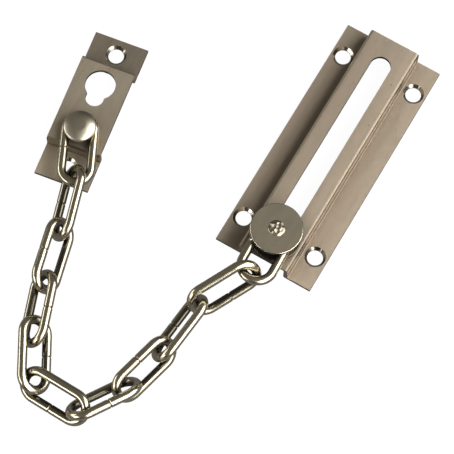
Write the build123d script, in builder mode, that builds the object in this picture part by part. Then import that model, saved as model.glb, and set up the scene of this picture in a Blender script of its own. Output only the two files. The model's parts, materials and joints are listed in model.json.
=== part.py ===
from build123d import *
import os

from math import cos, radians, sin

# Door chain, in millimetres. The track plate lies along Y with its back on z = 0.
# The origin is the middle of its four screw holes. The frame plate lies beside it
# on the same surface, and a chain of eleven links runs between the two.

# Track plate: a raised channel with a flange along each side
TRACK_LENGTH = 100.0
TRACK_WIDTH = 40.0
CHANNEL_WIDTH = 20.6
CHANNEL_HEIGHT = 8.6
SHEET = 1.6
SLOT_WIDTH = 8.0
SLOT_LENGTH = 85.8
SLOT_OFFSET = -0.6
TRACK_HOLE_SPACING_X = 30.6
TRACK_HOLE_SPACING_Y = 75.4

# Bends of both plates: outside, inside and at the foot of a wall
BEND_OUTER = 1.1
BEND_INNER = 0.4
BEND_FOOT = 0.5

# Countersunk screw holes, alike in both plates
HOLE_RADIUS = 3.0
SINK_RADIUS = 4.0
SINK_ANGLE = 90

# Slider: a collar on the channel, a button above it and a foot below the slot
STEM_X = -0.3
STEM_Y = -40.1
BUTTON_RADIUS = 9.75
BUTTON_THICKNESS = 1.6
COLLAR_RADIUS = 9.7
COLLAR_THICKNESS = 1.3
LINK_GAP = 5.6
NECK_RADIUS = 3.2
TAIL_RADIUS = 2.2
PEEN_RADIUS = 2.7
PEEN_CROWN_RADIUS = 1.8
PEEN_HEIGHT = 0.35
FOOT_RADIUS = 6.5
FOOT_THICKNESS = 1.5
SLIDING_PLAY = 0.1
BORE_PLAY = 0.05
DISC_EDGE = 0.25

# Frame plate: a strip bent into a low bridge, turned a little from the track plate
FRAME_X = -86.0
FRAME_Y = -30.1
FRAME_TURN = 9.2
FRAME_LENGTH = 61.2
FRAME_WIDTH = 21.4
BRIDGE_LENGTH = 36.0
BRIDGE_HEIGHT = 6.9
FRAME_HOLE_OFFSET = 24.4
KEYHOLE_RADIUS = 5.8
KEYHOLE_OFFSET = 9.1
KEYWAY_RADIUS = 3.5
KEYWAY_OFFSET = 3.5
KEYHOLE_CORNER = 0.6

# Stud that holds the first link down on the bridge
STUD_OFFSET = -10.8
STUD_NECK_RADIUS = 3.2
STUD_NECK_HEIGHT = 3.9
STUD_HEAD_RADIUS = 6.1
STUD_RIM = 0.5
STUD_CROWN_RADIUS = 3.1
STUD_HEAD_HEIGHT = 3.0
STUD_TAIL_RADIUS = 2.4
STUD_UPSET_RADIUS = 4.2
STUD_UPSET_HEIGHT = 0.9

# Chain links: round wire bent to an oval and butted in the middle of one leg
WIRE = 3.5
LINK_LENGTH = 30.0
LINK_WIDTH = 14.4
END_LINK_WIDTH = 15.6
BUTT_GAP = 0.12
BUTT_BEVEL = 0.3
HOOK_CLEARANCE = 0.15

# Where the end link lies: the middle of the oval, just under the button
END_LINK_CENTRE = (0.12, -48.1, 13.74)

# How each link lies, from the slider to the frame plate. Degrees: heading in plan,
# upward slope and roll about its own length. Millimetres: slack in the hook behind
# it and slip along the bow that carries it. The last value is the leg with the butt.
LINK_LAY = {
    "link_11": (-87, 8, 0, 0.0, 0.0, -1),
    "link_10": (-121, -16, -57, 0.7, -1.4, 1),
    "link_09": (-97, -8, 55, 0.5, 0.2, -1),
    "link_08": (-104, 0, -53, 2.9, 0.3, -1),
    "link_07": (-121, 8, 49, 4.2, 0.5, 1),
    "link_06": (-183, -9, -39, 1.5, -0.7, 1),
    "link_05": (-240, 0, 41, 2.3, -0.7, -1),
    "link_04": (-250, 2, -48, 5.4, 0.6, -1),
    "link_03": (-255, -1, 53, 2.0, 0.0, 1),
    "link_02": (-253, 7, -56, 2.0, 0.0, 1),
    "link_01": (-244, 0, 0, 1.6, -0.2, 1),
}

# Heights that follow from the sizes above
collar_base = CHANNEL_HEIGHT + SLIDING_PLAY
collar_top = collar_base + COLLAR_THICKNESS
button_base = collar_top + LINK_GAP
button_top = button_base + BUTTON_THICKNESS
foot_top = CHANNEL_HEIGHT - SHEET - SLIDING_PLAY
foot_base = foot_top - FOOT_THICKNESS

# The frame plate's own plane: x across the strip, y along it
frame_x_axis = (cos(radians(FRAME_TURN)), sin(radians(FRAME_TURN)), 0)
frame_plane = Plane(origin=(FRAME_X, FRAME_Y, 0), x_dir=frame_x_axis, z_dir=(0, 0, 1))


def raised_section(width, top_width, height):
    """Outline of a sheet with a raised middle, as points from the left flange's end."""
    outer = top_width / 2
    inner = outer - SHEET
    edge = width / 2
    return [
        (-edge, 0),
        (-inner, 0),
        (-inner, height - SHEET),
        (inner, height - SHEET),
        (inner, 0),
        (edge, 0),
        (edge, SHEET),
        (outer, SHEET),
        (outer, height),
        (-outer, height),
        (-outer, SHEET),
        (-edge, SHEET),
        (-edge, 0),
    ]


# Track plate
with BuildPart() as track_plate:
    with BuildSketch(Plane.XZ):
        with BuildLine():
            Polyline(*raised_section(TRACK_WIDTH, CHANNEL_WIDTH, CHANNEL_HEIGHT))
        make_face()
    extrude(amount=TRACK_LENGTH / 2, both=True)
    long_edges = track_plate.edges().filter_by(Axis.Y)
    top_edges = long_edges.group_by(Axis.Z)[-1]
    fillet(top_edges, radius=BEND_OUTER)
    inside_edges = [
        edge
        for edge in track_plate.edges().filter_by(Axis.Y)
        if abs(edge.center().Z - (CHANNEL_HEIGHT - SHEET)) < 0.01
    ]
    fillet(inside_edges, radius=BEND_INNER)
    foot_edges = [
        edge
        for edge in track_plate.edges().filter_by(Axis.Y)
        if abs(edge.center().Z - SHEET) < 0.01 and abs(edge.center().X) < CHANNEL_WIDTH / 2 + 0.1
    ]
    fillet(foot_edges, radius=BEND_FOOT)
    back_edges = [
        edge
        for edge in track_plate.edges().filter_by(Axis.Y)
        if abs(edge.center().Z) < 0.01 and abs(edge.center().X) < CHANNEL_WIDTH / 2
    ]
    fillet(back_edges, radius=BEND_OUTER)
    with BuildSketch(Plane.XY.offset(CHANNEL_HEIGHT)):
        with Locations((0, SLOT_OFFSET)):
            SlotOverall(SLOT_LENGTH, SLOT_WIDTH, rotation=90)
    extrude(amount=-2 * SHEET, mode=Mode.SUBTRACT)
    with Locations((0, 0, SHEET)):
        with GridLocations(TRACK_HOLE_SPACING_X, TRACK_HOLE_SPACING_Y, 2, 2):
            CounterSinkHole(HOLE_RADIUS, SINK_RADIUS, depth=SHEET, counter_sink_angle=SINK_ANGLE)
track_plate.part.label = "track_plate"

# Slider button: a flat disc on the tail of the rivet
with BuildPart() as slider_button:
    with BuildSketch(Plane.XY.offset(button_base)):
        with Locations((STEM_X, STEM_Y)):
            Circle(BUTTON_RADIUS)
            Circle(TAIL_RADIUS, mode=Mode.SUBTRACT)
    extrude(amount=BUTTON_THICKNESS)
    rim_edges = [
        edge for edge in slider_button.edges().filter_by(GeomType.CIRCLE) if edge.radius > TAIL_RADIUS + 1
    ]
    fillet(rim_edges, radius=DISC_EDGE)
slider_button.part.label = "slider_button"

# Slider collar: the lower disc, which slides on the channel
with BuildPart() as slider_collar:
    with BuildSketch(Plane.XY.offset(collar_base)):
        with Locations((STEM_X, STEM_Y)):
            Circle(COLLAR_RADIUS)
            Circle(NECK_RADIUS + BORE_PLAY, mode=Mode.SUBTRACT)
    extrude(amount=COLLAR_THICKNESS)
    rim_edges = [
        edge for edge in slider_collar.edges().filter_by(GeomType.CIRCLE) if edge.radius > NECK_RADIUS + 1
    ]
    fillet(rim_edges, radius=DISC_EDGE)
slider_collar.part.label = "slider_collar"

# Slider rivet: foot, neck and peened tail, turned about the stem
stem_plane = Plane(origin=(STEM_X, STEM_Y, 0), x_dir=(1, 0, 0), z_dir=(0, -1, 0))
with BuildPart() as slider_rivet:
    with BuildSketch(stem_plane):
        with BuildLine():
            Polyline(
                (0, foot_base),
                (FOOT_RADIUS, foot_base),
                (FOOT_RADIUS, foot_top),
                (NECK_RADIUS, foot_top),
                (NECK_RADIUS, button_base),
                (TAIL_RADIUS, button_base),
                (TAIL_RADIUS, button_top),
                (PEEN_RADIUS, button_top),
            )
            EllipticalCenterArc(
                center=(PEEN_CROWN_RADIUS, button_top),
                x_radius=PEEN_RADIUS - PEEN_CROWN_RADIUS,
                y_radius=PEEN_HEIGHT,
                start_angle=0,
                arc_size=90,
            )
            Polyline(
                (PEEN_CROWN_RADIUS, button_top + PEEN_HEIGHT),
                (0, button_top + PEEN_HEIGHT),
                (0, foot_base),
            )
        make_face()
    revolve(axis=Axis((STEM_X, STEM_Y, 0), (0, 0, 1)))
slider_rivet.part.label = "slider_rivet"

# Frame plate
with BuildPart() as frame_plate:
    section_plane = Plane(
        origin=frame_plane.origin, x_dir=frame_plane.y_dir, z_dir=frame_plane.x_dir
    )
    with BuildSketch(section_plane):
        with BuildLine():
            Polyline(*raised_section(FRAME_LENGTH, BRIDGE_LENGTH, BRIDGE_HEIGHT))
        make_face()
    extrude(amount=FRAME_WIDTH / 2, both=True)
    across = frame_plane.x_dir

    def bend_edges(height, reach):
        """Edges across the strip at one height, within reach of its middle."""
        found = []
        for edge in frame_plate.edges().filter_by(Axis((0, 0, 0), across)):
            local = frame_plane.to_local_coords(edge.center())
            if abs(local.Z - height) < 0.01 and abs(local.Y) < reach:
                found.append(edge)
        return found

    fillet(bend_edges(BRIDGE_HEIGHT, FRAME_LENGTH), radius=BEND_OUTER)
    fillet(bend_edges(BRIDGE_HEIGHT - SHEET, FRAME_LENGTH), radius=BEND_INNER)
    fillet(bend_edges(SHEET, BRIDGE_LENGTH / 2 + 0.1), radius=BEND_FOOT)
    fillet(bend_edges(0, BRIDGE_LENGTH / 2), radius=BEND_OUTER)
    with BuildSketch(frame_plane.offset(BRIDGE_HEIGHT)):
        with Locations((0, KEYHOLE_OFFSET)):
            Circle(KEYHOLE_RADIUS)
        with Locations((0, KEYWAY_OFFSET)):
            Circle(KEYWAY_RADIUS)
    extrude(amount=-2 * SHEET, mode=Mode.SUBTRACT)
    keyhole_corners = []
    for edge in frame_plate.edges().filter_by(Axis.Z):
        local = frame_plane.to_local_coords(edge.center())
        from_keyhole = Vector(local.X, local.Y - KEYHOLE_OFFSET).length
        from_keyway = Vector(local.X, local.Y - KEYWAY_OFFSET).length
        if abs(from_keyhole - KEYHOLE_RADIUS) < 0.01 and abs(from_keyway - KEYWAY_RADIUS) < 0.01:
            keyhole_corners.append(edge)
    fillet(keyhole_corners, radius=KEYHOLE_CORNER)
    with BuildSketch(frame_plane.offset(BRIDGE_HEIGHT)):
        with Locations((0, STUD_OFFSET)):
            Circle(STUD_TAIL_RADIUS)
    extrude(amount=-2 * SHEET, mode=Mode.SUBTRACT)
    with Locations(frame_plane.offset(SHEET)):
        with Locations((0, FRAME_HOLE_OFFSET), (0, -FRAME_HOLE_OFFSET)):
            CounterSinkHole(HOLE_RADIUS, SINK_RADIUS, depth=SHEET, counter_sink_angle=SINK_ANGLE)
frame_plate.part.label = "frame_plate"

# Link stud: turned about its axis, upset under the bridge, with a flat-crowned dome
stud_place = frame_plane.from_local_coords(Vector(0, STUD_OFFSET, 0))
stud_plane = Plane(origin=stud_place, x_dir=(1, 0, 0), z_dir=(0, -1, 0))
head_base = BRIDGE_HEIGHT + STUD_NECK_HEIGHT
bridge_under = BRIDGE_HEIGHT - SHEET
with BuildPart() as link_stud:
    with BuildSketch(stud_plane):
        with BuildLine():
            Polyline(
                (0, bridge_under - STUD_UPSET_HEIGHT),
                (STUD_UPSET_RADIUS, bridge_under - STUD_UPSET_HEIGHT),
                (STUD_UPSET_RADIUS, bridge_under),
                (STUD_TAIL_RADIUS, bridge_under),
                (STUD_TAIL_RADIUS, BRIDGE_HEIGHT),
                (STUD_NECK_RADIUS, BRIDGE_HEIGHT),
                (STUD_NECK_RADIUS, head_base),
                (STUD_HEAD_RADIUS, head_base),
                (STUD_HEAD_RADIUS, head_base + STUD_RIM),
            )
            EllipticalCenterArc(
                center=(STUD_CROWN_RADIUS, head_base + STUD_RIM),
                x_radius=STUD_HEAD_RADIUS - STUD_CROWN_RADIUS,
                y_radius=STUD_HEAD_HEIGHT - STUD_RIM,
                start_angle=0,
                arc_size=90,
            )
            Polyline(
                (STUD_CROWN_RADIUS, head_base + STUD_HEAD_HEIGHT),
                (0, head_base + STUD_HEAD_HEIGHT),
                (0, bridge_under - STUD_UPSET_HEIGHT),
            )
        make_face()
    revolve(axis=Axis(stud_place, (0, 0, 1)))
link_stud.part.label = "link_stud"


def link_plane(centre, heading, slope, roll):
    """Plane of one oval: x along the link towards the frame plate, y across it."""
    forward = Vector(
        cos(radians(slope)) * cos(radians(heading)),
        cos(radians(slope)) * sin(radians(heading)),
        sin(radians(slope)),
    )
    level = Vector(-sin(radians(heading)), cos(radians(heading)), 0)
    upward = forward.cross(level)
    across_link = level * cos(radians(roll)) + upward * sin(radians(roll))
    return Plane(origin=centre, x_dir=forward, z_dir=forward.cross(across_link))


def place_links():
    """Hook each link into the one before it and return the planes by name."""
    reach = (LINK_LENGTH - WIRE) / 2
    planes = {}
    before = None
    for name, (heading, slope, roll, slack, slip, _) in LINK_LAY.items():
        plane = link_plane(Vector(*END_LINK_CENTRE), heading, slope, roll)
        if before is not None:
            bow = before.origin + before.x_dir * reach
            pull = (before.x_dir + plane.x_dir).normalized()
            hook = bow - pull * (WIRE + HOOK_CLEARANCE + slack) + before.y_dir * slip
            plane = link_plane(hook + plane.x_dir * reach, heading, slope, roll)
        planes[name] = plane
        before = plane
    return planes


def make_link(plane, width, butt_leg):
    """One wire oval, swept from one side of its butt joint round to the other."""
    bow = (width - WIRE) / 2
    reach = (LINK_LENGTH - WIRE) / 2
    straight = reach - bow
    side = bow * butt_leg
    start = BUTT_GAP / 2
    with BuildPart() as link:
        with BuildLine(plane) as wire_path:
            Line((start, side), (straight, side))
            ThreePointArc((straight, side), (reach, 0), (straight, -side))
            Line((straight, -side), (-straight, -side))
            ThreePointArc((-straight, -side), (-reach, 0), (-straight, side))
            Line((-straight, side), (-start, side))
        with BuildSketch(Plane(origin=wire_path.line @ 0, z_dir=wire_path.line % 0)):
            Circle(WIRE / 2)
        sweep()
        ends = link.faces().filter_by(GeomType.PLANE)
        chamfer(ends.edges(), length=BUTT_BEVEL)
    return link


# Chain links, each a part of its own
link_planes = place_links()
links = {}
for link_name, lay in LINK_LAY.items():
    link_width = END_LINK_WIDTH if link_name == "link_11" else LINK_WIDTH
    links[link_name] = make_link(link_planes[link_name], link_width, lay[-1])
    links[link_name].part.label = link_name

os.makedirs("parts", exist_ok=True)
export_step(track_plate.part, "parts/track_plate.step")
export_step(slider_button.part, "parts/slider_button.step")
export_step(slider_collar.part, "parts/slider_collar.step")
export_step(slider_rivet.part, "parts/slider_rivet.step")
export_step(frame_plate.part, "parts/frame_plate.step")
export_step(link_stud.part, "parts/link_stud.step")
for link_name, link in links.items():
    export_step(link.part, f"parts/{link_name}.step")
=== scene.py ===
import json
import math

import bpy
import numpy as np
from mathutils import Matrix, Vector


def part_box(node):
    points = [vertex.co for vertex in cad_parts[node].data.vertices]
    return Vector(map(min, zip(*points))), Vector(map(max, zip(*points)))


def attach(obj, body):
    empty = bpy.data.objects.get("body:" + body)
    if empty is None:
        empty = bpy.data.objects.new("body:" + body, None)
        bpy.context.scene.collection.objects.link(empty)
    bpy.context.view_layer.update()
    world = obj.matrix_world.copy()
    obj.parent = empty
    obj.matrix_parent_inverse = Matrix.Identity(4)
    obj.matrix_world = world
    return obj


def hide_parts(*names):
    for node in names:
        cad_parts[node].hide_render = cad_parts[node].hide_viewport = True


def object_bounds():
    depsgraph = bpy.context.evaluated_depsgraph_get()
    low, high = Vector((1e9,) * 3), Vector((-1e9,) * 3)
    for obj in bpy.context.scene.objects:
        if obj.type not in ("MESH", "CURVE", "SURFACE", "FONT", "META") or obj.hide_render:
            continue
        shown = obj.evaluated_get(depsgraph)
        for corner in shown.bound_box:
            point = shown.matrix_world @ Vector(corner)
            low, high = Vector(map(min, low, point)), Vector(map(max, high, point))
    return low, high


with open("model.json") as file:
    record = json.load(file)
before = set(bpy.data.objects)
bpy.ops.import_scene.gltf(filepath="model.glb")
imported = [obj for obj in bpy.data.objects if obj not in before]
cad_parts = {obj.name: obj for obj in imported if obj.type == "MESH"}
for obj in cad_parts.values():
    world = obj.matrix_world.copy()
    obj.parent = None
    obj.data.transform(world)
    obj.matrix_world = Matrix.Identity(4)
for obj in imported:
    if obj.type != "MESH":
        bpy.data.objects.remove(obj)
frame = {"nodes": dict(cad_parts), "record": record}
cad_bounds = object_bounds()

# Camera: its place, and its turn as a rotation vector, fitted to both plates
CAMERA_PLACE = (0.11212, -0.28558, 0.80699)
CAMERA_TURN = (2.721, 0.740, -0.107)
FOCAL_PIXELS = 2293.0
IMAGE_PIXELS = 454
SENSOR = 36.0

# Shapes, in metres
FRAME_TURN = math.radians(9.2)
STRAIGHT_HALF = 0.0078
END_LINK_STRAIGHT_HALF = 0.0072
UPSET_RADIUS = 0.0042
UPSET_HEIGHT = 0.0009
UPSET_CHAMFER = (0.0006, 0.0002)
TAIL_RADIUS = 0.0024
TAIL_TOP = 0.0025
NECK_RADIUS = 0.0032
HEAD_HEIGHT = 0.003
HEAD_EDGE = ((0.0001, 0.0), (0.0, 0.0001), (0.0, 0.0008), (0.00003, 0.00102), (0.00014, 0.00122))
DOME_SPHERE = 0.0112
DOME_INSET = 0.0004
DOME_RINGS = 24
DOME_CREASE = 35
DISH_DEPTH = 0.00015
DISH_RADIUS = 0.0024
TURNED_SEGMENTS = 72
PEEN_SPREAD = 0.0032
PEEN_RISE = 0.00048
PEEN_SUNK = 0.00003
PEEN_SKIRT = 0.0001
PEEN_RINGS = 26
PEEN_SPOKES = 90
PEEN_CREASE = 20
# Waves of the cap's edge: their height, how many and where they start
PEEN_WAVES = ((0.04, 3, 0.5), (0.03, 7, 0.0))
DENTS = 12
DENT_CURVE = 330.0
DENT_RIDGE = 0.0006
DENT_STEP = 0.00004
DENT_STEP_TURN = 5.1
DENT_FIRST_OUT = 0.4
DENT_FIRST_TURN = 0.6
GOLDEN_TURN = 2.39996

# Noise layers: scale, detail and, where there is one, stretch
GRAIN = (900.0, 4.0, (1.0, 0.018, 1.0))
CLOUD = (45.0, 3.0, (1.0, 0.5, 1.0))
PITS = (620.0, 1.0)
MOTTLE = (420.0, 2.0, (1.0, 0.45, 1.0))
MOTTLE_TURN = 0.3
PATCHES = (260.0, 2.0, (1.0, 0.6, 1.0))
PATCH_TURN = -0.4
PATCH_STRENGTH = 0.8
WAVES = (140.0, 2.0)
SCUFFS = (1500.0, 5.0)
FILM = (60.0, 4.0)
HAMMERED = (1300.0, 4.0)
NOISE_ROUGHNESS = 0.6
FACETS_SCALE = 700.0

# Shades: layer, where it starts and where it is full, its strength there, and its shade.
# Roughness: layer, and what its low and high ends add. Bumps: layer, distance and strength.
SATIN_SHADES = (
    ("cloud", 0.35, 0.7, 0.35, 0.86),
    ("grain", 0.3, 0.75, 0.3, 1.14),
    ("pits", 0.74, 0.79, 0.5, 0.45),
    ("mottle", 0.56, 0.72, 0.3, 1.16),
    ("mottle", 0.44, 0.3, 0.3, 0.8),
)
SATIN_ROUGHNESS = (("cloud", -0.05, 0.05), ("grain", -0.05, 0.06))
SATIN_BUMPS = (("grain", 0.00002, 0.45), ("cloud", 0.00025, 0.12))
POLISHED_SHADES = (("film", 0.4, 0.75, 0.45, 0.8), ("scuffs", 0.6, 0.78, 0.18, 0.6))
POLISHED_ROUGHNESS = (("scuffs", -0.02, 0.04), ("film", -0.02, 0.06))
POLISHED_BUMPS = (("waves", 0.0004, 0.22), ("scuffs", 0.00002, 0.08))
PEENED_SHADES = (("hammered", 0.5, 0.7, 0.6, 0.45),)
PEENED_ROUGHNESS = (("hammered", -0.1, 0.1),)
PEENED_BUMPS = (("facets", 0.0002, 0.6), ("hammered", 0.0001, 0.6))
PATCH_HUES = ((0.52, 0.68, (1.05, 0.99, 0.98)), (0.48, 0.34, (0.94, 0.965, 0.96)))

# Masks of places on the metal, their colours and roughness, and the painted light and shade laid on
# them
SOFT_EDGE = 0.0001
FLAT_TO_BEND = (0.995, 0.96)
BEND_TO_UPRIGHT = (0.4, 0.1)
FLAT_TO_SINK = (0.92, 0.85)
SIDE_SOFTNESS = 0.1
SINK_LEVEL = 0.0008
SINK_REACH = 0.0045
SINK_COLOUR = (0.40, 0.37, 0.31)
SINK_ROUGHNESS = 0.16
# Painted tones: bent walls a little darker, cut faces painted shade near black
WALL_PAINTED_TONE = 0.9
CUT_FACE_PAINTED_SHADE = 0.1
# Painted shade in corners of the sheets, beside walls and under close parts
CORNER_REACH = 0.014
CORNER_SKY = (0.95, 0.4)
CORNER_PAINTED_SHADE = 0.12
# Painted shade in crevices of the links and stud, where other parts come close
CREVICE_REACH = 0.005
CREVICE_SKY = (0.8, 0.3)
CREVICE_DARKENING = 0.58
CREVICE_PAINTED_SHADE = 0.08
# Painted shade on the inside of each oval link
INNER_SIDE = (0.1, 0.9)
INNER_DARKENING = 0.9
INNER_PAINTED_SHADE = 0.12
SKY_SAMPLES = 8
WHOLE = (0.0, (0.0, 0.0), 1.0, 1.1)

# Studio
FLOOR_REACH = 1.6
FLOOR_GAP = 0.0002
FLOOR_GREY = 0.08
FLOOR_CLEAR = 0.97
FLOOR_GLOW_REFLECTED = 0.12
AIR_COLOUR = (1.0, 0.95, 0.85, 1.0)
AIR_STRENGTH = 0.14
WHITE = (1.0, 1.0, 1.0, 1.0)
CARD_BLACK = (0.01, 0.01, 0.01, 1.0)
STUDIO_CENTRE = Vector((-0.035, -0.045, 0.0))
# Name, azimuth, elevation, distance, width, height and watts
SOFTBOXES = (
    ("right_box", 8, 42, 1.0, 1.7, 0.8, 21.0),
    ("left_box", 204, 17, 0.9, 0.6, 0.25, 1.6),
    ("low_box", -118, 20, 0.9, 0.45, 0.25, 1.7),
    ("front_box", -38, 19, 0.9, 0.25, 0.2, 0.5),
)
CARD_AZIMUTHS = (-75, 75, 110)
CARD_ELEVATION = 12
CARD_DISTANCE = 0.8
CARD_SIZE = (0.5, 0.34)


def add_node(tree, kind, **values):
    """A new node, with plain values set by attribute name."""
    node = tree.nodes.new(kind)
    for name, value in values.items():
        setattr(node, name, value)
    return node


def set_inputs(node, **values):
    """Plain values for a node's sockets; an underscore stands for a space."""
    for name, value in values.items():
        node.inputs[name.replace("_", " ")].default_value = value


class Metal:
    """A metal material built up step by step from procedural layers."""

    def __init__(self, name, colour, roughness):
        self.material = bpy.data.materials.new(name)
        self.material.use_nodes = True
        self.tree = self.material.node_tree
        self.tree.nodes.clear()
        self.link = self.tree.links.new
        output = self.add("ShaderNodeOutputMaterial")
        self.shader = self.add("ShaderNodeBsdfPrincipled")
        set_inputs(self.shader, Metallic=1.0, Roughness=roughness)
        self.link(self.shader.outputs["BSDF"], output.inputs["Surface"])
        coordinates = self.add("ShaderNodeTexCoord")
        self.place = coordinates.outputs["Object"]
        self.facing = coordinates.outputs["Normal"]
        base = self.add("ShaderNodeRGB")
        base.outputs[0].default_value = (*colour, 1.0)
        self.colour = base.outputs[0]
        self.base_colour = colour
        self.base_roughness = roughness
        self.rough = None
        self.normal = None

    def add(self, kind, **values):
        return add_node(self.tree, kind, **values)

    def calculate(self, operation, one, other=None, clamp=False):
        """The result of an operation on one or two values."""
        node = self.add("ShaderNodeMath", operation=operation, use_clamp=clamp)
        self.link(one, node.inputs[0])
        if other is not None:
            self.link(other, node.inputs[1])
        return node.outputs[0]

    def combine(self, operation, one, other=None):
        """The result of an operation on vectors, of which the second may be a fixed one."""
        node = self.add("ShaderNodeVectorMath", operation=operation)
        self.link(one, node.inputs[0])
        if isinstance(other, tuple):
            node.inputs[1].default_value = other
        elif other is not None:
            self.link(other, node.inputs[1])
        return node.outputs["Value" if operation in ("DOT_PRODUCT", "DISTANCE") else "Vector"]

    def component(self, vector, axis):
        node = self.add("ShaderNodeSeparateXYZ")
        self.link(vector, node.inputs[0])
        return node.outputs[axis]

    def local(self, vector, centre, turn):
        """The vector in the axes of something at centre, turned by turn."""
        node = self.add("ShaderNodeMapping", vector_type="TEXTURE")
        set_inputs(node, Location=centre, Rotation=turn)
        self.link(vector, node.inputs["Vector"])
        return node.outputs["Vector"]

    def noise(self, scale, detail, stretch=(1.0, 1.0, 1.0), turn=0.0):
        """Noise in object space, stretched and turned about the Z axis."""
        mapping = self.add("ShaderNodeMapping")
        set_inputs(mapping, Scale=stretch, Rotation=(0.0, 0.0, turn))
        self.link(self.place, mapping.inputs["Vector"])
        node = self.add("ShaderNodeTexNoise")
        set_inputs(node, Scale=scale, Detail=detail, Roughness=NOISE_ROUGHNESS)
        self.link(mapping.outputs["Vector"], node.inputs["Vector"])
        return node.outputs["Fac"]

    def ramp(self, factor, low, high, to_low=0.0, to_high=1.0):
        """to_low where factor is low, to_high where it is high, and no further."""
        node = self.add("ShaderNodeMapRange")
        set_inputs(node, From_Min=low, From_Max=high, To_Min=to_low, To_Max=to_high)
        self.link(factor, node.inputs["Value"])
        return node.outputs["Result"]

    def tint(self, factor, colour, blend="MIX"):
        """Mix another colour in where factor is 1."""
        node = self.add("ShaderNodeMix", data_type="RGBA", blend_type=blend)
        sockets = {s.name: s for s in node.inputs if s.type == "RGBA"}
        self.link(factor, node.inputs["Factor"])
        self.link(self.colour, sockets["A"])
        sockets["B"].default_value = (*colour, 1.0)
        self.colour = next(s for s in node.outputs if s.type == "RGBA")

    def shade(self, factor, shade):
        """Mix a darker or lighter shade of the metal's own colour in where factor is 1."""
        self.tint(factor, [part * shade for part in self.base_colour])

    def roughen(self, factor, low, high):
        """Add low to high to the roughness as factor goes from 0 to 1."""
        base = self.base_roughness if self.rough is None else 0.0
        layer = self.ramp(factor, 0.0, 1.0, base + low, base + high)
        self.rough = layer if self.rough is None else self.calculate("ADD", self.rough, layer)

    def machine(self, mask, roughness):
        """Another roughness where mask is 1."""
        node = self.add("ShaderNodeMix", data_type="FLOAT")
        sockets = {s.name: s for s in node.inputs if s.type == "VALUE" and s.name in "AB"}
        self.link(mask, node.inputs["Factor"])
        self.link(self.rough, sockets["A"])
        sockets["B"].default_value = roughness
        self.rough = node.outputs[0]

    def bump(self, height, distance, strength):
        node = self.add("ShaderNodeBump")
        set_inputs(node, Strength=strength, Distance=distance)
        self.link(height, node.inputs["Height"])
        if self.normal is not None:
            self.link(self.normal, node.inputs["Normal"])
        self.normal = node.outputs["Normal"]

    def cover(self, layers, shades, roughness, bumps):
        """The shades, roughness and bumps of named layers, from their tables."""
        for layer, start, full, strength, shade in shades:
            self.shade(self.ramp(layers[layer], start, full, 0.0, strength), shade)
        for layer, low, high in roughness:
            self.roughen(layers[layer], low, high)
        for layer, distance, strength in bumps:
            self.bump(layers[layer], distance, strength)

    def steep(self, flat, full):
        """0 where the upward part of the normal is flat or more, 1 where it is full or less."""
        upward = self.calculate("ABSOLUTE", self.component(self.facing, "Z"))
        return self.ramp(upward, flat, full)

    def faces(self, direction):
        """1 where the surface leans in this direction, 0 where it leans away."""
        lean = self.combine("DOT_PRODUCT", self.facing, tuple(direction))
        return self.ramp(lean, -SIDE_SOFTNESS, SIDE_SOFTNESS)

    def recess(self, reach, sky, most):
        """Up to most in corners and under close neighbours, 0 in the open."""
        node = self.add("ShaderNodeAmbientOcclusion", samples=SKY_SAMPLES)
        set_inputs(node, Distance=reach)
        return self.ramp(node.outputs["AO"], *sky, 0.0, most)

    def across(self, turn, centre):
        """Distance from a line through centre, turned by turn from the Y axis."""
        return self.component(self.local(self.place, (*centre, 0.0), (0.0, 0.0, turn)), "X")

    def beside(self, turn, centre, near, far):
        """1 between near and far from a line through centre, and 0 elsewhere."""
        gap = self.calculate("ABSOLUTE", self.across(turn, centre))
        inner = self.ramp(gap, near - SOFT_EDGE, near + SOFT_EDGE)
        outer = self.ramp(gap, far + SOFT_EDGE, far - SOFT_EDGE)
        return self.calculate("MULTIPLY", inner, outer)

    def sunk(self, holes):
        """1 on the walls of countersunk holes at these places, 0 on the flat sheet."""
        total = None
        for hole in holes:
            gap = self.combine("DISTANCE", self.place, (*hole, SINK_LEVEL))
            near = self.ramp(gap, SINK_REACH, SINK_REACH - SOFT_EDGE)
            total = near if total is None else self.calculate("MAXIMUM", total, near)
        sloping = self.ramp(self.component(self.facing, "Z"), *FLAT_TO_SINK)
        return self.calculate("MULTIPLY", total, sloping)

    def inward(self, centre, turn, half_straight):
        """1 where the surface faces the inside of an oval link, -1 on its outside."""
        place = self.local(self.place, centre, turn)
        facing = self.local(self.facing, (0.0, 0.0, 0.0), turn)
        along = self.add("ShaderNodeClamp")
        set_inputs(along, Min=-half_straight, Max=half_straight)
        self.link(self.component(place, "X"), along.inputs["Value"])
        nearest = self.add("ShaderNodeCombineXYZ")
        self.link(along.outputs[0], nearest.inputs["X"])
        self.link(self.component(place, "Z"), nearest.inputs["Z"])
        away = self.combine("SUBTRACT", nearest.outputs[0], place)
        return self.combine("DOT_PRODUCT", self.combine("NORMALIZE", away), facing)

    def finish(self):
        self.link(self.colour, self.shader.inputs["Base Color"])
        self.link(self.rough, self.shader.inputs["Roughness"])
        self.link(self.normal, self.shader.inputs["Normal"])
        return self.material


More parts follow.
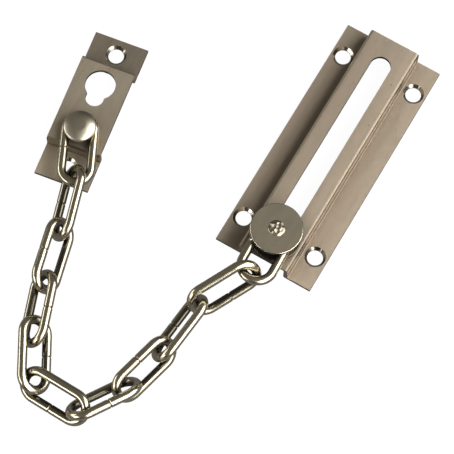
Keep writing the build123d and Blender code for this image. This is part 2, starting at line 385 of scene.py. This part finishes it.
def brushed_nickel(
    name,
    colour,
    turn,
    roughness,
    edge_roughness,
    lit_edge_painted_tone,
    corners,
    bends=WHOLE,
    holes=(),
    painted_light_bands=(),
    lit=(1.0, 0.0, 0.0),
    far_edge_painted_tone=1.0,
):
    """Satin metal with its grain along the sheet, blotches, a few small pits, and painted light and
    shade.

    bends is the line, and the distances from it, between which an upright face is a bent wall
    and not a cut edge. tones are bands of painted light and shade across that line. lit is the
    side whose edges take lit_edge_painted_tone; the other side's edges take far_edge_painted_tone.
    Both are painted light and shade. Bent walls, cut faces and corners take painted shade as well.
    """
    metal = Metal(name, colour, roughness)
    layers = {
        "grain": metal.noise(*GRAIN, turn),
        "cloud": metal.noise(*CLOUD, turn),
        "pits": metal.noise(*PITS),
        "mottle": metal.noise(*MOTTLE, turn + MOTTLE_TURN),
    }
    metal.cover(layers, SATIN_SHADES, SATIN_ROUGHNESS, SATIN_BUMPS)
    patches = metal.noise(*PATCHES, turn + PATCH_TURN)
    for start, full, hue in PATCH_HUES:
        metal.tint(metal.ramp(patches, start, full, 0.0, PATCH_STRENGTH), hue, "MULTIPLY")
    # Painted light and shade in bands across the bends' line: one side lighter or darker as the
    # light falls
    for start, full, stop, shade in painted_light_bands:
        place = metal.across(*bends[:2])
        begun = metal.ramp(place, start, full)
        ended = metal.ramp(place, stop + SOFT_EDGE, stop - SOFT_EDGE)
        metal.tint(metal.calculate("MULTIPLY", begun, ended), (shade, shade, shade), "MULTIPLY")

    edges = metal.steep(*FLAT_TO_BEND)
    # Painted light and shade on bends and edges: one tone on the side towards lit, another on the
    # far side
    for side, shade in (([-part for part in lit], far_edge_painted_tone), (lit, lit_edge_painted_tone)):
        metal.shade(metal.calculate("MULTIPLY", edges, metal.faces(side)), shade)
    metal.machine(edges, edge_roughness)
    upright = metal.steep(*BEND_TO_UPRIGHT)
    bent = metal.beside(*bends)
    cut = metal.calculate("SUBTRACT", upright, bent, clamp=True)
    # Painted tone on bent walls, painted shade on cut faces
    metal.shade(metal.calculate("MULTIPLY", upright, bent), WALL_PAINTED_TONE)
    metal.shade(cut, CUT_FACE_PAINTED_SHADE)
    # Painted shade in corners and under close neighbours, up to corners in strength
    metal.shade(metal.recess(CORNER_REACH, CORNER_SKY, corners), CORNER_PAINTED_SHADE)
    if holes:
        sinks = metal.sunk(holes)
        metal.tint(sinks, SINK_COLOUR)
        metal.machine(sinks, SINK_ROUGHNESS)
    return metal.finish()


def polished_nickel(name, colour, roughness, oval=None):
    """Barrel-polished metal: its own colour outside, painted shade inside each oval link and in
    crevices near other parts.
    """
    metal = Metal(name, colour, roughness)
    layers = {
        "waves": metal.noise(*WAVES),
        "scuffs": metal.noise(*SCUFFS),
        "film": metal.noise(*FILM),
    }
    metal.cover(layers, POLISHED_SHADES, POLISHED_ROUGHNESS, POLISHED_BUMPS)
    # Painted shade on the inside of each oval link
    if oval is not None:
        inner = metal.ramp(metal.inward(*oval), *INNER_SIDE, 0.0, INNER_DARKENING)
        metal.shade(inner, INNER_PAINTED_SHADE)
    # Painted shade in crevices and under close neighbours
    metal.shade(metal.recess(CREVICE_REACH, CREVICE_SKY, CREVICE_DARKENING), CREVICE_PAINTED_SHADE)
    return metal.finish()


def peened_nickel(name, colour, roughness):
    """Hammered rivet end: broken facets, bright and dark."""
    metal = Metal(name, colour, roughness)
    facets = metal.add("ShaderNodeTexVoronoi", feature="F1")
    set_inputs(facets, Scale=FACETS_SCALE, Randomness=1.0)
    metal.link(metal.place, facets.inputs["Vector"])
    layers = {"facets": facets.outputs["Distance"], "hammered": metal.noise(*HAMMERED)}
    metal.cover(layers, PEENED_SHADES, PEENED_ROUGHNESS, PEENED_BUMPS)
    return metal.finish()


def oval_place(node):
    """Centre and turn of one oval link, from the spread of its points."""
    points = np.array([vertex.co for vertex in node.data.vertices])
    centre = points.mean(0)
    _, axes = np.linalg.eigh(np.cov((points - centre).T))
    thin, across, along = axes[:, 0], axes[:, 1], axes[:, 2]
    for axis in (along, across, thin):
        reach = (points - centre) @ axis
        centre = centre + axis * (reach.max() + reach.min()) / 2
    through = np.cross(along, across)
    turn = Matrix((along, across, through)).transposed().to_euler()
    return tuple(centre), tuple(turn)


# Materials of the CAD nodes
mounts = {mount["name"]: mount for mount in frame["record"]["mounts"]}
spacing = mounts["track_screws"]["dims"]
half_x, half_y = spacing["spacing_x_mm"] / 2000, spacing["spacing_y_mm"] / 2000
track_holes = [(x, y) for x in (-half_x, half_x) for y in (-half_y, half_y)]
frame_middle = Vector(mounts["frame_screws"]["pos_m"][:2])
along_frame = Vector((-math.sin(FRAME_TURN), math.cos(FRAME_TURN)))
half_frame = mounts["frame_screws"]["dims"]["pcd_mm"] / 2000
frame_holes = [tuple(frame_middle + along_frame * half_frame * side) for side in (1, -1)]

materials = {
    # Painted light on the channel's right side and on bends facing away from the lit side; painted
    # shade on the left flange strip and on bends facing the lamp
    "track_plate": brushed_nickel(
        "track_satin",
        (0.60, 0.50, 0.385),
        turn=0.0,
        roughness=0.5,
        edge_roughness=0.4,
        lit_edge_painted_tone=0.36,
        corners=0.7,
        bends=(0.0, (0.0, 0.0), 0.006, 0.014),
        holes=track_holes,
        painted_light_bands=((0.0, 0.014, 1.0, 1.22), (-0.0200, -0.0158, -0.0118, 0.83)),
        far_edge_painted_tone=1.55,
    ),
    # Painted shade on the top flange and on bends facing the lamp; painted light on the lower
    # flange
    "frame_plate": brushed_nickel(
        "frame_satin",
        (0.655, 0.565, 0.435),
        turn=FRAME_TURN,
        roughness=0.48,
        edge_roughness=0.4,
        lit_edge_painted_tone=0.36,
        corners=0.5,
        bends=(FRAME_TURN + math.pi / 2, tuple(frame_middle), 0.015, 0.021),
        holes=frame_holes,
        painted_light_bands=((0.0175, 0.0185, 1.0, 0.66), (-0.0175, -0.0185, 1.0, 1.45)),
    ),
    # Painted highlight on the rim on its lit side; painted shade on its upright side
    "slider_button": brushed_nickel(
        "button_satin",
        (0.335, 0.295, 0.22),
        turn=0.4,
        roughness=0.5,
        edge_roughness=0.18,
        lit_edge_painted_tone=2.4,
        corners=0.0,
        lit=(0.45, -0.9, 0.0),
    ),
    # Its dark colour is painted shade under the button; its upright side and corners also get
    # painted shade
    "slider_collar": brushed_nickel(
        "collar_satin",
        (0.24, 0.205, 0.15),
        turn=0.9,
        roughness=0.4,
        edge_roughness=0.2,
        lit_edge_painted_tone=0.7,
        corners=0.7,
    ),
    "slider_rivet": peened_nickel("rivet_peened", (0.40, 0.35, 0.27), 0.4),
    "link_stud": polished_nickel("stud_polished", (0.67, 0.61, 0.475), 0.3),
}
for number in range(1, 12):
    name = f"link_{number:02d}"
    straight = END_LINK_STRAIGHT_HALF if name == "link_11" else STRAIGHT_HALF
    oval = (*oval_place(frame["nodes"][name]), straight)
    materials[name] = polished_nickel(f"{name}_polished", (0.635, 0.57, 0.42), 0.2, oval)

for name, node in frame["nodes"].items():
    for slot in node.material_slots:
        slot.material = materials[name]
    if not node.material_slots:
        node.data.materials.append(materials[name])


def meshed(name, points, faces, crease):
    """A smooth object whose edges sharper than crease degrees stay crisp."""
    mesh = bpy.data.meshes.new(name)
    mesh.from_pydata(points, [], faces)
    mesh.polygons.foreach_set("use_smooth", [True] * len(mesh.polygons))
    mesh.set_sharp_from_angle(angle=math.radians(crease))
    piece = bpy.data.objects.new(name, mesh)
    bpy.context.collection.objects.link(piece)
    return piece


def revolved(name, axis, outline, segments=TURNED_SEGMENTS):
    """A closed solid turned about an upright axis, from its outline as (radius, height)."""
    spins = [2 * math.pi * k / segments for k in range(segments)]
    points, faces = [], []
    for radius, height in outline:
        for spin in spins:
            x, y = radius * math.cos(spin), radius * math.sin(spin)
            points.append((axis.x + x, axis.y + y, height))
    for ring in range(len(outline) - 1):
        base, top = ring * segments, (ring + 1) * segments
        for k in range(segments):
            after = (k + 1) % segments
            faces.append((base + k, base + after, top + after, top + k))
    faces.append(tuple(range(segments))[::-1])
    faces.append(tuple(range((len(outline) - 1) * segments, len(outline) * segments)))
    return meshed(name, points, faces, DOME_CREASE)


def stud_outline(foot, head_radius, head_top):
    """Upset end, tail through the sheet, neck, and a domed head with a slight dish."""
    inset, chamfer = UPSET_CHAMFER
    head_foot = head_top - HEAD_HEIGHT
    outline = [
        (UPSET_RADIUS - inset, foot),
        (UPSET_RADIUS, foot + chamfer),
        (UPSET_RADIUS, foot + UPSET_HEIGHT),
        (TAIL_RADIUS, foot + UPSET_HEIGHT),
        (TAIL_RADIUS, foot + TAIL_TOP),
        (NECK_RADIUS, foot + TAIL_TOP),
        (NECK_RADIUS, head_foot),
    ]
    outline += [(head_radius - inward, head_foot + rise) for inward, rise in HEAD_EDGE]
    for step in range(DOME_RINGS):
        radius = (head_radius - DOME_INSET) * (1 - step / DOME_RINGS)
        drop = DOME_SPHERE - math.sqrt(DOME_SPHERE**2 - radius**2)
        dish = DISH_DEPTH * max(0.0, 1 - (radius / DISH_RADIUS) ** 2)
        outline.append((radius, head_top - drop - dish))
    return outline


stud_low, stud_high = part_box("link_stud")
head_radius = (stud_high.x - stud_low.x) / 2
stud_dome = revolved(
    "stud_dome",
    (stud_low + stud_high) / 2,
    stud_outline(stud_low.z, head_radius, stud_high.z),
)
stud_dome.data.materials.append(materials["link_stud"])
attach(stud_dome, "frame_side")
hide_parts("link_stud")


def peened_cap(name, axis, base):
    """A closed cap over the rivet's end, with hammer dents that meet in ridges."""
    dents = []
    for index in range(DENTS):
        spin = index * GOLDEN_TURN + DENT_FIRST_TURN
        out = PEEN_SPREAD * math.sqrt((index + DENT_FIRST_OUT) / DENTS)
        drop = DENT_STEP * math.sin(index * DENT_STEP_TURN)
        dents.append((out * math.cos(spin), out * math.sin(spin), drop))

    def height(x, y):
        out = min(1.0, math.hypot(x, y) / PEEN_SPREAD)
        bowl = min(drop + DENT_CURVE * ((x - dx) ** 2 + (y - dy) ** 2) for dx, dy, drop in dents)
        return PEEN_RISE * (1 - out**4) + min(bowl, DENT_RIDGE) * (1 - out**6)

    flat = [(0.0, 0.0)]
    for ring in range(1, PEEN_RINGS + 1):
        for spoke in range(PEEN_SPOKES):
            spin = 2 * math.pi * spoke / PEEN_SPOKES
            waves = sum(tall * math.sin(count * spin + start) for tall, count, start in PEEN_WAVES)
            out = PEEN_SPREAD * (1 + waves) * ring / PEEN_RINGS
            flat.append((out * math.cos(spin), out * math.sin(spin)))
    points = [(axis.x + x, axis.y + y, base + height(x, y)) for x, y in flat]
    rim = len(points) - PEEN_SPOKES
    foot = len(points)
    underside = base - PEEN_SKIRT
    points += [(x, y, underside) for x, y, _ in points[rim:]]
    points.append((axis.x, axis.y, underside))

    faces = []
    for spoke in range(PEEN_SPOKES):
        after = (spoke + 1) % PEEN_SPOKES
        faces.append((0, 1 + spoke, 1 + after))
        for inner in range(1, rim, PEEN_SPOKES):
            outer = inner + PEEN_SPOKES
            faces.append((inner + spoke, outer + spoke, outer + after, inner + after))
        faces.append((rim + spoke, foot + spoke, foot + after, rim + after))
        faces.append((foot + PEEN_SPOKES, foot + after, foot + spoke))
    return meshed(name, points, faces, PEEN_CREASE)


rivet_low, rivet_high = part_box("slider_rivet")
button_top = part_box("slider_button")[1].z
peen = peened_cap("peened_end", (rivet_low + rivet_high) / 2, button_top - PEEN_SUNK)
peen.data.materials.append(materials["slider_rivet"])
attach(peen, "slider")

# Floor: pale and clear to the camera, so that links which swing below it stay in view
floor_mesh = bpy.data.meshes.new("floor")
floor_level = cad_bounds[0][2] - FLOOR_GAP
corners = ((-1, -1), (1, -1), (1, 1), (-1, 1))
floor_mesh.from_pydata(
    [(FLOOR_REACH * x, FLOOR_REACH * y, floor_level) for x, y in corners],
    [],
    [(0, 1, 2, 3)],
)
floor = bpy.data.objects.new("floor", floor_mesh)
bpy.context.collection.objects.link(floor)
floor_material = bpy.data.materials.new("floor")
floor_material.use_nodes = True
floor_tree = floor_material.node_tree
floor_tree.nodes.clear()
floor_output = add_node(floor_tree, "ShaderNodeOutputMaterial")
floor_path = add_node(floor_tree, "ShaderNodeLightPath")
floor_link = floor_tree.links.new


def either(one, other, value):
    """value where the ray is of either kind, 0 for other rays."""
    kind = add_node(floor_tree, "ShaderNodeMath", operation="MAXIMUM")
    floor_link(floor_path.outputs[one], kind.inputs[0])
    floor_link(floor_path.outputs[other], kind.inputs[1])
    node = add_node(floor_tree, "ShaderNodeMath", operation="MULTIPLY")
    floor_link(kind.outputs[0], node.inputs[0])
    node.inputs[1].default_value = value
    return node.outputs[0]


diffuse = add_node(floor_tree, "ShaderNodeBsdfDiffuse")
set_inputs(diffuse, Color=(FLOOR_GREY, FLOOR_GREY, FLOOR_GREY, 1.0))
glow = add_node(floor_tree, "ShaderNodeEmission")
set_inputs(glow, Color=WHITE)
reflected = either("Is Glossy Ray", "Is Transmission Ray", FLOOR_GLOW_REFLECTED)
floor_link(reflected, glow.inputs["Strength"])
clear = add_node(floor_tree, "ShaderNodeBsdfTransparent")
floor_link(either("Is Camera Ray", "Is Shadow Ray", FLOOR_CLEAR), clear.inputs["Color"])
shader = diffuse
for layer in (glow, clear):
    total = add_node(floor_tree, "ShaderNodeAddShader")
    floor_link(shader.outputs[0], total.inputs[0])
    floor_link(layer.outputs[0], total.inputs[1])
    shader = total
floor_link(shader.outputs[0], floor_output.inputs["Surface"])
floor_mesh.materials.append(floor_material)

# World: white to the camera, dim and warm to everything else
world = bpy.data.worlds.new("studio")
bpy.context.scene.world = world
world.use_nodes = True
world_tree = world.node_tree
air = world_tree.nodes["Background"]
set_inputs(air, Color=AIR_COLOUR, Strength=AIR_STRENGTH)
backdrop = add_node(world_tree, "ShaderNodeBackground")
set_inputs(backdrop, Color=WHITE, Strength=1.0)
world_path = add_node(world_tree, "ShaderNodeLightPath")
choice = add_node(world_tree, "ShaderNodeMixShader")
world_tree.links.new(world_path.outputs["Is Camera Ray"], choice.inputs[0])
world_tree.links.new(air.outputs[0], choice.inputs[1])
world_tree.links.new(backdrop.outputs[0], choice.inputs[2])
world_tree.links.new(choice.outputs[0], world_tree.nodes["World Output"].inputs["Surface"])


def around(azimuth, elevation, distance):
    """A point seen from the studio's centre at these angles, in degrees."""
    azimuth, elevation = math.radians(azimuth), math.radians(elevation)
    level = math.cos(elevation)
    direction = (level * math.cos(azimuth), level * math.sin(azimuth), math.sin(elevation))
    return STUDIO_CENTRE + distance * Vector(direction)


def aimed(name, data, place, target):
    """An object at place whose -Z axis points at target, unseen by the camera."""
    thing = bpy.data.objects.new(name, data)
    bpy.context.collection.objects.link(thing)
    thing.rotation_euler = (target - place).to_track_quat("-Z", "Y").to_euler()
    thing.location = place
    thing.visible_camera = False
    return thing


for name, azimuth, elevation, distance, width, height, watts in SOFTBOXES:
    lamp = bpy.data.lights.new(name, "AREA")
    lamp.shape = "RECTANGLE"
    lamp.size = width
    lamp.size_y = height
    lamp.energy = watts
    aimed(name, lamp, around(azimuth, elevation, distance), STUDIO_CENTRE)

# Black cards that shape the reflections
card_material = bpy.data.materials.new("studio_card")
card_material.use_nodes = True
card_shader = card_material.node_tree.nodes["Principled BSDF"]
set_inputs(card_shader, Base_Color=CARD_BLACK, Roughness=1.0)
for azimuth in CARD_AZIMUTHS:
    name = f"card_{azimuth % 360}"
    mesh = bpy.data.meshes.new(name)
    half_width, half_height = CARD_SIZE[0] / 2, CARD_SIZE[1] / 2
    mesh.from_pydata([(half_width * x, half_height * y, 0) for x, y in corners], [], [(0, 1, 2, 3)])
    mesh.materials.append(card_material)
    place = around(azimuth, CARD_ELEVATION, CARD_DISTANCE)
    card = aimed(name, mesh, place, Vector((STUDIO_CENTRE.x, STUDIO_CENTRE.y, place.z)))
    card.visible_diffuse = False
    card.visible_shadow = False

# Camera
turn = Vector(CAMERA_TURN)
right, down, forward = Matrix.Rotation(turn.length, 3, turn.normalized())
camera_data = bpy.data.cameras.new("camera")
camera_data.sensor_width = SENSOR
camera_data.lens = FOCAL_PIXELS * SENSOR / IMAGE_PIXELS
camera = bpy.data.objects.new("camera", camera_data)
bpy.context.collection.objects.link(camera)
axes = Matrix((right, -down, -forward)).transposed()
camera.matrix_world = Matrix.Translation(CAMERA_PLACE) @ axes.to_4x4()
bpy.context.scene.camera = camera

bpy.context.scene.view_settings.view_transform = "Standard"
